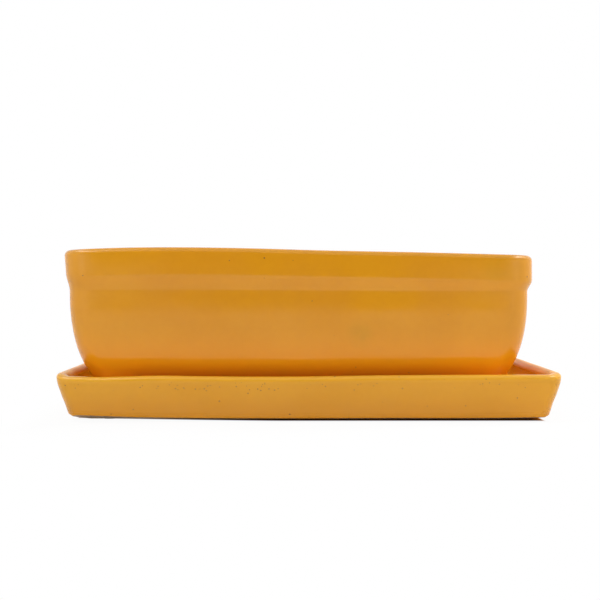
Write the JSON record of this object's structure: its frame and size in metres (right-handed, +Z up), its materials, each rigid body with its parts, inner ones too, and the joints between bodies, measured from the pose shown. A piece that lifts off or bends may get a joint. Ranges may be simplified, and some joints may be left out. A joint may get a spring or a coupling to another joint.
{
  "type": "indoor herb planter",
  "caption": "Rectangular glazed ceramic trough pot with a rolled lip and curved-in belly, standing on cast feet in a matching splayed drip tray, with screens over its drain holes.",
  "frame": {"origin": "on the surface that the tray stands on, under the middle of the tray", "axes": "+X along the trough to the right, +Y from front to back, +Z up"},
  "size_m": [0.305, 0.165, 0.1056],
  "materials": {
    "pot_glaze": "satin",
    "tray_glaze": "satin",
    "screen_plastic": "matte",
    "pad_rubber": "matte"
  },
  "bodies": {
    "tray": {"drip_tray": "tray_glaze", "tray_pad_front_left": "pad_rubber", "tray_pad_front_right": "pad_rubber", "tray_pad_back_left": "pad_rubber", "tray_pad_back_right": "pad_rubber"},
    "pot": {"pot": "pot_glaze"},
    "screen_left": {"drain_screen_left": "screen_plastic"},
    "screen_right": {"drain_screen_right": "screen_plastic"}
  },
  "joints": [
    {"name": "pot_lift", "type": "slide", "parent": "tray", "child": "pot", "axis": [0, 0, 1], "range_m": [0, 0.1]},
    {"name": "screen_left_lift", "type": "slide", "parent": "pot", "child": "screen_left", "axis": [0, 0, 1], "range_m": [0, 0.1]},
    {"name": "screen_right_lift", "type": "slide", "parent": "pot", "child": "screen_right", "axis": [0, 0, 1], "range_m": [0, 0.1]}
  ]
}
